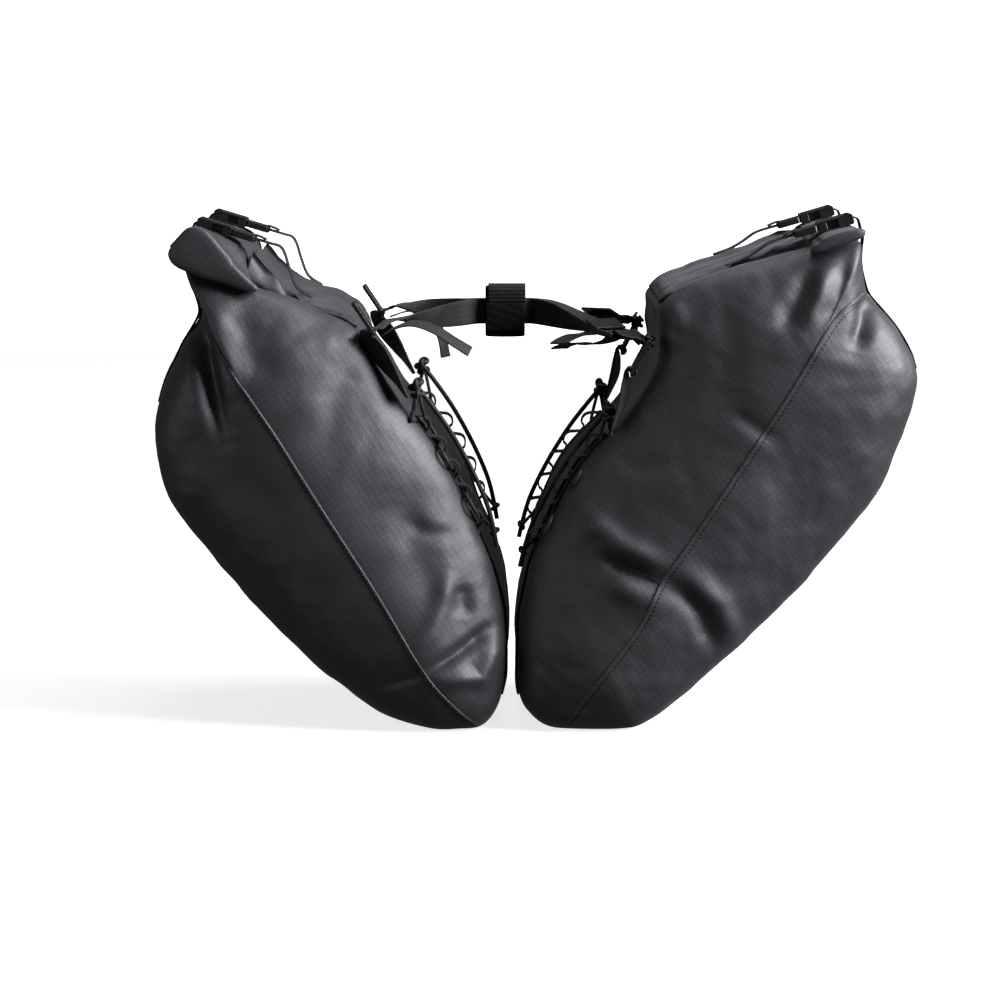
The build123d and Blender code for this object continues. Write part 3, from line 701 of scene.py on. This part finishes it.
def collar(side):
    """The folded collar over the mouth, pulled into tucks where it runs into the roll."""
    flat, data = MOUTHS[side], COLLARS[side]
    ss = np.linspace(data["top"][0][0], data["top"][-1][0], 64)
    profile = np.interp(ss, *np.array(data["top"]).T)
    rings, cloth = [], []
    for y in np.linspace(-119, 119, 120):
        edge = min(1.0, (119 - abs(y)) / 9 + 0.30) ** 0.6
        push = np.zeros(len(ss))
        place = np.column_stack([ss, np.full(len(ss), y)])
        for line, height, width in data["tucks"]:
            distance, _ = polyline_distance(place, line)
            push += height * np.exp(-(distance / width) ** 2)
        lift = turbulence([(s, y, 0) for s in ss], 0.045, 5 + SIGN[side])
        settle = np.clip((ss - ss[0]) / 12, 0, 1) * np.clip((profile - 1) / 6, 0, 1)
        tops = profile * edge + (push + 1.5 * lift) * settle * edge
        tops = np.where(ss > 4, np.maximum(1.5, tops), tops)
        ring = [flat.spot(s, t, y) for s, t in zip(ss, tops)]
        ring += [flat.spot(s, min(0.9, 0.4 * (s - ss[0]) - 4.5), y) for s in ss[::-4]]
        rings.append(ring)
    piece = loft(f"{side}_collar_cloth", rings)
    return finish_piece(piece, f"{side}_closure", "bag_fabric", LINING, f"{side}_collar")


ROLL_SECTIONS = {
    "left": [(99, 9), (100, 19), (104, 28), (112, 34.5), (125, 37.5), (139, 37.7), (151, 34.5), (157, 27),
             (158, 16), (153, 6), (138, 1.8), (114, 1.3), (102, 3)],
    "right": [(130, 6), (133, 10.5), (143, 13.4), (156, 14), (168, 12.5), (173.5, 8.5), (172, 3.6),
              (160, 1.4), (142, 1.2), (132, 2.4)],
}
ROLL_LOBES = {          # the outline of the folded-in end, at the front and the rear
    "left": [(84, 6), (92, 11), (106, 19), (121, 29), (133, 37), (144, 41), (154, 38), (160, 28), (165, 14),
             (158, 5), (140, 2), (110, 1.5), (90, 2)],
    "right": [(128, 4), (132, 8), (144, 11.5), (158, 12.5), (170, 11.5), (176, 8), (174, 3.6), (160, 1.4),
              (142, 1.2), (131, 1.6)],
}


def roll(side):
    """The rolled end of the collar: a soft roll with its last edge showing, folded in at both ends."""
    flat = MOUTHS[side]
    amount, edge_s = (1.3, 112) if side == "left" else (0.6, 139)   # waviness, place of the cloth's edge
    section, lobe = (closed_curve(shape, 110) for shape in (ROLL_SECTIONS[side], ROLL_LOBES[side]))
    middle = section.mean(0)
    rings = []
    inner = np.linspace(-149, -110, 26)
    tips = np.array([150.4, 151.4, 152, 152.2])
    stations = np.r_[-tips[::-1], inner, np.linspace(-108, 108, 64), -inner[::-1], tips]
    for y in stations:
        turn = np.clip((abs(y) - 112) / 30, 0, 1)
        ring = section + (lobe - section) * turn * turn * (3 - 2 * turn)
        size = np.interp(abs(y), (149, 150.4, 151.4, 152, 152.2), (1, 0.975, 0.9, 0.7, 0.3))
        ring = middle + (ring - middle) * size
        away = ring - middle
        away /= np.maximum(np.linalg.norm(away, axis=1), 1e-6)[:, None]
        wave = turbulence([(s * 0.8, y * 1.3, t) for s, t in ring], 0.045, 11 + SIGN[side])
        fine = turbulence([(s, y * 0.5, t) for s, t in ring], 0.10, 14)
        layer = 1.3 / (1 + np.exp(-(ring[:, 0] - edge_s) / 0.5)) * (ring[:, 1] > middle[1])
        ring = ring + away * (amount * wave + 0.4 * amount * fine + layer - 0.8)[:, None]
        rings.append([flat.spot(s, max(t, 0.9), y) for s, t in ring])
    piece = loft(f"{side}_roll_cloth", rings)
    finish_piece(piece, f"{side}_closure", "bag_fabric", FABRIC, f"{side}_roll")
    low, high, top = ROLLS[side]
    centre = ((low + high) / 2, (top + 0.8) / 2)
    section = ((-12, -1), (-11.2, -1.2), (11.2, -1.2), (12, -1), (12, 1), (11.2, 1.2), (-11.2, 1.2), (-12, 1))
    strip = [[flat.spot(centre[0] + s, centre[1] + t, y) for s, t in section]
             for y in np.linspace(-128, 128, 9)]
    finish_piece(loft(f"{side}_stiffener_strip", strip), f"{side}_closure", "stiffener_plastic",
                 STRIP_PLASTIC, f"{side}_roll_stiffener")


def closure_straps(side, skin):
    """Webbing over the roll: the inner strap to the pronged half, the outer one round to the socket."""
    flat = MOUTHS[side]
    low, high, top = ROLLS[side]
    level = top + 0.4 + 4.5
    origin = high - 30
    length = math.dist(*MOUTH[side])
    out = max(high, length) + 2.5
    corner = MOUTH[side][1]
    for end, label in ENDS:
        y = end * BUCKLE_Y
        across = (0, 1, 0)
        rise = [(42, 9.4), (56, 14), (66, 26), (74, 38), (79.5, level - 0.2)] if side == "left" else [
            (60, 9.8), (76, 11), (88, 14), (98, 17.6), (104, level - 0.2)]
        rise += [(rise[-1][0] + 8, level), (origin - 18.5, level)]
        inner = [(flat.spot(s, t, y), across) for s, t in rise]
        strap_piece(f"{side}_inner_strap_{label}", f"{side}_closure", [f"{side}_closure_strap_{label}"],
                    inner, 20, 1.5)
        tail = [(origin - 15, level + 1.9), (origin - 19, level + 3.1), (origin - 24, level + 2.9),
                (origin - 29, level + 2.0)]
        strap_piece(f"{side}_strap_tail_{label}", f"{side}_prongs_{label}", [],
                    [(flat.spot(s, t, y), across) for s, t in tail], 19, 1.3)
        lower = []
        for z in np.linspace(corner[1] - 108, corner[1] - 8, 9):
            place, _ = skin.hit((SIGN[side] * 400, y, z), (-SIGN[side], 0, 0), 1.3)
            if place is not None and abs(place[0]) > 150:
                lower.append((place, across))
        upper = [(length + 2.4, 1), (out - 0.4, 7), (out, (level + 5) / 2), (out - 0.4, level - 2.6),
                 (out - 3, level - 0.2), (high - 4.4, level)]
        if side == "right":
            upper = [(length + 2.4, 1), (out, 7), (out + 0.2, level - 4), (out - 1.2, level - 0.6),
                     (high - 1, level), (high - 4.4, level)]
        stations = lower + [(flat.spot(s, t, y), across) for s, t in upper]
        strap_piece(f"{side}_outer_strap_{label}", f"{side}_bag",
                    [f"{side}_outer_straps"] if end == FRONT else [], stations, 20, 1.5, 70)


# ---------------------------------------------------------------- inboard faces
LOOP_STOPS = [14 + 23 * i for i in range(5)]


def face_rise(side, skin, down, y):
    """How far the shell stands out of the flat face frame at a place on it."""
    flat = FACES[side]
    place, _ = skin.hit(flat.spot(down, 60, y), -flat.way(0, 1), 0)
    return 0.0 if place is None else float((place[[0, 2]] - flat.start) @ flat.out)


def daisy(side, label, end, skin):
    """Scalloped daisy-chain tape: sewn down between standing loops."""
    flat, y = FACES[side], end * DAISY_Y
    stations = [(3, 1.0)]
    for stop in LOOP_STOPS:
        stations += [(stop - 9.5, 1.0), (stop - 7.2, 3.6), (stop - 3.4, 8.0), (stop + 1.4, 8.8),
                     (stop + 6.4, 6.0), (stop + 7.6, 2.4), (stop + 9.8, 1.0)]
    stations.append((119, 1.0))
    base = {down: face_rise(side, skin, down, y) for down, _ in stations}
    centres = [(flat.spot(down, base[down] + out, y), (0, 1, 0)) for down, out in stations]
    strap_piece(f"{side}_daisy_tape_{label}", f"{side}_bag", [f"{side}_daisy_{label}"], centres, 20, 1.4, 230)
    line = [(flat.spot(down, base[down] + 0.5, y), (0, 1, 0)) for down in (3, 37, 60, 83, 119)
            for down in (min(base, key=lambda d: abs(d - down)),)]
    strap_piece(f"{side}_daisy_base_{label}", f"{side}_bag", [], line, 21.5, 1.0, 40)


def overhand(side, name, centre, along, size, diameter):
    """A small tied knot: a closed trefoil turned to lie along the cord."""
    turn = np.linspace(0, 2 * math.pi, 22, endpoint=False)
    shape = np.stack([np.sin(turn) + 2 * np.sin(2 * turn), np.cos(turn) - 2 * np.cos(2 * turn),
                      -1.15 * np.sin(3 * turn)], 1) * size / 3
    spin = np.array(Vector((0, 0, 1)).rotation_difference(Vector(along)).to_matrix())
    piece = cord(f"{side}_{name}", shape @ spin.T + centre, diameter, cyclic=True)
    finish_piece(piece, f"{side}_bag", "cord", CORD)
    return piece


def laces_and_ties(side, label, end):
    """The lacing cord through the loops, the long tie outside it, and their knots."""
    flat = FACES[side]
    outer, inner = end * 134, end * 98
    route = [flat.spot(-6, 10.3, outer)]
    for number, down in enumerate(LOOP_STOPS):
        pair = (outer, inner) if number % 2 == 0 else (inner, outer)
        route += [flat.spot(down, 4.3, y) for y in pair]
    route.append(flat.spot(126, 8.3, inner))
    lace = cord_piece(f"{side}_lacing_{label}", side, [f"{side}_lace_{label}"], route, 3.0)
    start = route[0] - 3 * flat.way(1, 0.2)
    first = overhand(side, f"lace_knot_{label}", start, flat.way(1, 0), 5.2, 3.0)
    last = overhand(side, f"lace_end_{label}", route[-1], flat.way(1, 0.4), 4.0, 2.6)
    stops = [(-14, 12), (16, 17), (50, 18.5), (84, 17), (112, 13), (134, 9)]
    path = [flat.spot(down, out, end * (123 - 3 * number)) for number, (down, out) in enumerate(stops)]
    path[-1] = flat.spot(137, 4, end * 108)
    tie = cord_piece(f"{side}_tie_cord_{label}", side, [f"{side}_tie_{label}"], path, 4.0)
    knot = overhand(side, f"tie_knot_{label}", path[0] - 2 * flat.way(1, 0), flat.way(1, 0.3), 6.2, 4.0)
    stub = [path[0] + (0, end * 3, -2), path[0] + (0, end * 7, -12) - 2 * flat.way(0, 1),
            path[0] + (0, end * 9, -24) - 5 * flat.way(0, 1)]
    cord_piece(f"{side}_knot_tail_{label}", side, [], stub, 3.4)
    overhand(side, f"tail_knob_{label}", stub[-1], (0.2, 0, -1), 3.2, 2.8)


def tabs(side, label, end, skin):
    """Doubled webbing from the ring down to the face, turned a little to the front at its top."""
    flat, y = PIVOTS[side], end * STRAP_Y
    # (down the frame, out of it, turn in radians)
    if side == "left":
        stops = [(-7, -6.6, 0.2), (0, -6.9, 0.5), (14, -6.4, 0.75), (30, -6.2, 0.55), (46, -6.4, 0.25),
                 (60, -7.2, 0.1)]
    else:
        stops = [(26, 3.6, 0.1), (31, 4.0, 0.12), (38, 0.5, 0.3), (50, -4.0, 0.38), (64, -6.4, 0.25),
                 (80, -8.0, 0.08)]
    stations = []
    for down, out, turn in stops:
        place = flat.spot(down, out, y)
        hit, _ = skin.hit(place + 50 * flat.way(0, 1), -flat.way(0, 1), 1.6 + 8 * turn)
        if hit is not None and down > 20:
            rise = (hit - place)[[0, 2]] @ flat.out
            place = place + flat.way(0, 1) * max(rise, 0)
        stations.append((place, np.array([0, 1, 0]) * math.cos(turn) - flat.way(0, 1) * math.sin(turn)))
    strap_piece(f"{side}_tab_tape_{label}", f"{side}_bag", [f"{side}_tab_{label}"], stations, 22, 2.2)
    if side == "right":
        middle = flat.spot(28.8, 0, y)
        ring = [(middle + flat.way(3.5 * math.cos(a), 3.5 * math.sin(a)), (0, 1, 0))
                for a in np.linspace(0.4, 2 * math.pi - 0.2, 12)]
        strap_piece(f"right_tab_eye_{label}", "right_bag", [], ring, 22, 1.6)


# ---------------------------------------------------------------- the yoke
def eye(pivot, y, radius, start, stop, count=12):
    """Stations round a pivot bar, turning from one angle to the other."""
    x, z = pivot
    return [(np.array([x + radius * math.cos(a), y, z + radius * math.sin(a)]), (0, 1, 0))
            for a in np.radians(np.linspace(start, stop, count))]


def lock_axes(end):
    """Origin, direction to the wrap, up and across of the right ladder lock."""
    start, target = np.array([92, end * STRAP_Y, 327.0]), np.array([3, end * 3.5, 344.0])
    along = (target - start) / np.linalg.norm(target - start)
    level = np.array([along[1], -along[0], 0])
    level /= np.linalg.norm(level)
    return start + 34 * along, along, np.cross(level, along), level


def yoke(label, end):
    """One strap of the yoke with its link, the lock's webbing and the free tails."""
    y = end * STRAP_Y
    start, target = np.array([-135, y, 334.0]), np.array([-55, end * 3.5, 344.0])
    along = target - start
    level = np.array([along[1], -along[0], 0])
    level *= (1 if level[1] * end > 0 else -1) / np.linalg.norm(level)
    upright = np.array([0, 0, 1.0])
    stations = eye((-135, 334), y, 3.4, -70, -290, 9)
    for part, rise, twist in ((0.12, 5.0, 0), (0.24, 7.5, 8), (0.38, 6.5, 22), (0.54, 3.5, 45),
                              (0.72, 1.2, 68), (0.9, 0, 88)):
        place = start + part * along + (0, 0, rise)
        angle = math.radians(twist)
        flat_way = np.array([0, end, 0]) if part < 0.2 else level
        across = flat_way * math.cos(angle) + upright * math.sin(angle)
        stations.append((place, across * end))
    stations += [(np.array([x, end * 3.5, 344.0]), upright * end) for x in (-50, -38, -26, -14, -2)]
    origin, way, up, side = lock_axes(end)
    far = np.array([3, end * 3.5, 344.0])
    for part, twist in ((0.12, 80), (0.28, 58), (0.44, 34), (0.58, 12)):
        place = far + part * (np.array([92, y, 327.0]) - far) + (0, 0, -1.2 * part)
        angle = math.radians(twist)
        across = side * np.sign(side[1]) * math.cos(angle) * end + upright * math.sin(angle)
        stations.append((place, across * end))
    for x, high in ((32, -2.0), (26, -2.6), (20, -3.0), (13.5, -3.0)):
        stations.append((origin + way * x + up * high, side * np.sign(side[1])))
    spread = []
    for centre, across in stations:
        across = np.array(across, float)
        if spread and across @ spread[-1][1] < 0:
            across = -across
        spread.append((centre, across))
    strap_piece(f"yoke_tape_{label}", "yoke", [f"yoke_strap_{label}"], spread, 22, 1.6, 170)
    root = start + np.array([6, 0, -3.2])
    if end == FRONT:
        fall = [root, root + (12, 0, 7), root + (27, -1, 10.5), root + (44, -2, 6), root + (60, -3, -4),
                root + (74, -3, -12.5)]
    else:
        fall = [root, root + (16, 0, 5), root + (30, 0, 4), root + (41, 0, -5), root + (47, 0, -20),
                root + (50, 0, -36)]
    broad = np.array([0.5, 0, 0.86]) if end == FRONT else np.array([0.98, 0, 0.2])
    turns = np.radians([0, 12, 30, 48, 56, 60])
    strap_piece(f"left_tail_{label}", "yoke", ["left_tails"] if end == FRONT else [],
                [(p, np.array([0, 1, 0]) * math.cos(a) + broad * math.sin(a)) for p, a in zip(fall, turns)],
                10, 1.3)
    link = eye((92, 327), y, 3.4, 20, 160, 6)
    link = link + [(origin - way * 12 + up * 1.0, side), (origin + up * 3.4 - way * 1, side),
                   (origin + way * 3.3, side), (origin - up * 3.4 - way * 1, side),
                   (origin - way * 12 - up * 1.0, side)] + eye((92, 327), y, 3.4, 200, 350, 6)
    link = [(c, np.array(a, float) * (1 if np.array(a, float)[1] > 0 else -1)) for c, a in link]
    strap_piece(f"yoke_link_tape_{label}", "yoke", [f"yoke_link_{label}"], link, 22, 1.5, 90)
    hang = [(13.5, -3.2), (15.5, -5.4), (23, -9.6), (44, -15.5), (66, -18.0), (84, -23.2), (92, -27.0)]
    strap_piece(f"lock_tail_{label}", "yoke", ["lock_webbing"] if end == FRONT else [],
                [(origin + way * s + up * t, side) for s, t in hang], 18, 1.4)


def grip_wrap():
    """The padded band that gathers both straps, its closing flap and the ribbed hook tape above it."""
    def section(half_y, half_z, count=72, power=4.0):
        """A rounded rectangle."""
        turn = np.linspace(0, 2 * math.pi, count, endpoint=False)
        c, s = np.cos(turn), np.sin(turn)
        return np.stack([half_y * np.sign(c) * abs(c) ** (2 / power),
                         half_z * np.sign(s) * abs(s) ** (2 / power)], 1)

    rings = []
    for x, inset in ((-42.2, 3.4), (-43, 2.6), (-43, 1.2), (-42, 0.2), (-39, 0), (-32, -0.25), (-26, -0.3),
                     (-20, -0.25), (-13, 0), (-10, 0.2), (-9, 1.2), (-9, 2.6), (-9.8, 3.4), (-26, 3.4)):
        rings.append([(x, y, 344 + z) for y, z in section(9.5 - inset, 22 - inset)])
    band = loft("wrap_band", rings, caps=False, loop=True)
    finish_piece(band, "grip_wrap", "wrap_fabric", WRAP_CLOTH, "grip_wrap_band")
    rows, columns = [], np.linspace(-42.4, -9.6, 40)
    for z in np.linspace(327.5, 351.5, 26):
        bulge = 0.9 * (1 - ((z - 339.5) / 12.6) ** 4)
        rows.append([(x, -9.9 - max(0, bulge) * (1 - ((x + 26) / 17) ** 6) ** 0.5
                      - 0.12 * math.sin(z * 0.9 + x * 0.3), z) for x in columns])
    flap = loft("wrap_flap", rows, closed=False, caps=False)
    thicken(flap, 1.5)
    finish_piece(flap, "grip_wrap", "hook_tape", WRAP_CLOTH, "grip_wrap_flap")
    rows = []
    ribs = 9
    path = open_curve([(-9.7, 352), (-9.9, 358), (-9.4, 363), (-6.5, 366.4), (-1, 366.9), (4, 366.6)],
                      8 * ribs)
    for number, (y, z) in enumerate(path):
        rise = 0.55 * abs(math.sin(math.pi * number / 8))
        rows.append([(x, y - rise * (0.9 if z < 364 else 0.1), z + rise * (0.1 if z < 364 else 0.9))
                     for x in np.linspace(-40.5, -8.4, 30)])
    hook = loft("wrap_hook_tape", rows, closed=False, caps=False)
    thicken(hook, 1.0)
    finish_piece(hook, "grip_wrap", "hook_tape", HOOK_TAPE)


def hardware():
    """Moulded plastic on the carried-over rings, locks and buckle halves."""
    for name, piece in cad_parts.items():
        if any(word in name for word in ("ring", "ladder_lock", "buckle")):
            piece.data.materials.clear()
            piece.data.materials.append(PLASTIC)


def build_shells():
    """Both shells; also a thin copy of each, to cut the sewn-on sheets from."""
    made = {}
    for name in BAGS:
        piece = shell(name)
        thin = piece.copy()
        thin.data = piece.data.copy()
        thicken(piece, 1.6, -1)
        finish_piece(piece, f"{name}_bag", "bag_fabric", FABRIC,
                     f"{name}_outer_panel", f"{name}_inner_panel")
        piece.data.shade_smooth()
        made[name] = (piece, thin)
    return made


# ---------------------------------------------------------------- stage
def camera():
    """At the viewing angle: square on to the front ends, looking down by six degrees."""
    data = bpy.data.cameras.new("camera")
    data.lens = 147
    data.clip_end = 30
    eye_point = bpy.data.objects.new("camera", data)
    bpy.context.scene.collection.objects.link(eye_point)
    tilt, reach = math.radians(6), 3.4
    target = Vector((-0.0304, -0.13, 0.194))
    eye_point.location = target + reach * Vector((0, -math.cos(tilt), math.sin(tilt)))
    eye_point.rotation_euler = (math.pi / 2 - tilt, 0, 0)
    bpy.context.scene.camera = eye_point


def area_light(name, place, target, size, power):
    """A white rectangular lamp, aimed at the target."""
    data = bpy.data.lights.new(name, "AREA")
    data.shape, data.size, data.size_y = "RECTANGLE", size[0], size[1]
    data.energy = power
    lamp = bpy.data.objects.new(name, data)
    lamp.location = place
    lamp.rotation_euler = (Vector(target) - Vector(place)).to_track_quat("-Z", "Y").to_euler()
    bpy.context.scene.collection.objects.link(lamp)


def white_surface(name, corners, shade, glow):
    """A plain pale sheet behind or under the object."""
    sheet = mesh_object(name, corners, [(0, 1, 2, 3)])
    pale, _, shader = new_material(f"{name}_white", (shade,) * 3, 0.9, Emission_Strength=glow)
    shader.inputs["Emission Color"].default_value = (1, 1, 1, 1)
    sheet.data.materials.append(pale)
    return sheet


def stage():
    """The pale floor and backdrop, the dim surround and three soft lamps."""
    floor = white_surface("floor", [(-9, -9, 0), (9, -9, 0), (9, 9, 0), (-9, 9, 0)], 0.5, 0.78)
    wall = white_surface("backdrop", [(-9, 4.5, -1), (9, 4.5, -1), (9, 4.5, 7), (-9, 4.5, 7)], 0.8, 1.1)
    for surround in (floor, wall):          # the white surround lights nothing: the lamps do
        surround.visible_diffuse = surround.visible_glossy = False
    world = bpy.data.worlds.new("studio")
    world.use_nodes = True
    back = world.node_tree.nodes["Background"]
    back.inputs["Color"].default_value = (1, 1, 1, 1)
    back.inputs["Strength"].default_value = WORLD
    bpy.context.scene.world = world
    middle = (0, 0, 0.2)
    area_light("key", (3.3, -1.15, 2.05), middle, (2.6, 2.6), KEY)
    area_light("fill", (-2.8, -1.8, 0.5), middle, (1.6, 1.6), FILL)
    area_light("top", (0.3, 0.4, 2.8), middle, (2.0, 1.2), TOP)
    bpy.context.scene.view_settings.view_transform = "Standard"


KEY, FILL, TOP, WORLD = 560, 16, 30, 0.10      # lamp powers in watts, and the surround's strength

camera()
for bag_side in BAGS:
    for bag_end, end_label in ENDS:
        laces_and_ties(bag_side, end_label, bag_end)
stage()
SHELLS = build_shells()
for bag_side, (whole, thin_copy) in SHELLS.items():
    cast = Skin(thin_copy)
    seams(bag_side, cast)
    back_panels(bag_side, thin_copy)
    collar(bag_side)
    roll(bag_side)
    closure_straps(bag_side, cast)
    for bag_end, end_label in ENDS:
        daisy(bag_side, end_label, bag_end, cast)
        tabs(bag_side, end_label, bag_end, cast)
    bpy.data.objects.remove(thin_copy)
for bag_end, end_label in ENDS:
    yoke(end_label, bag_end)
grip_wrap()
hardware()
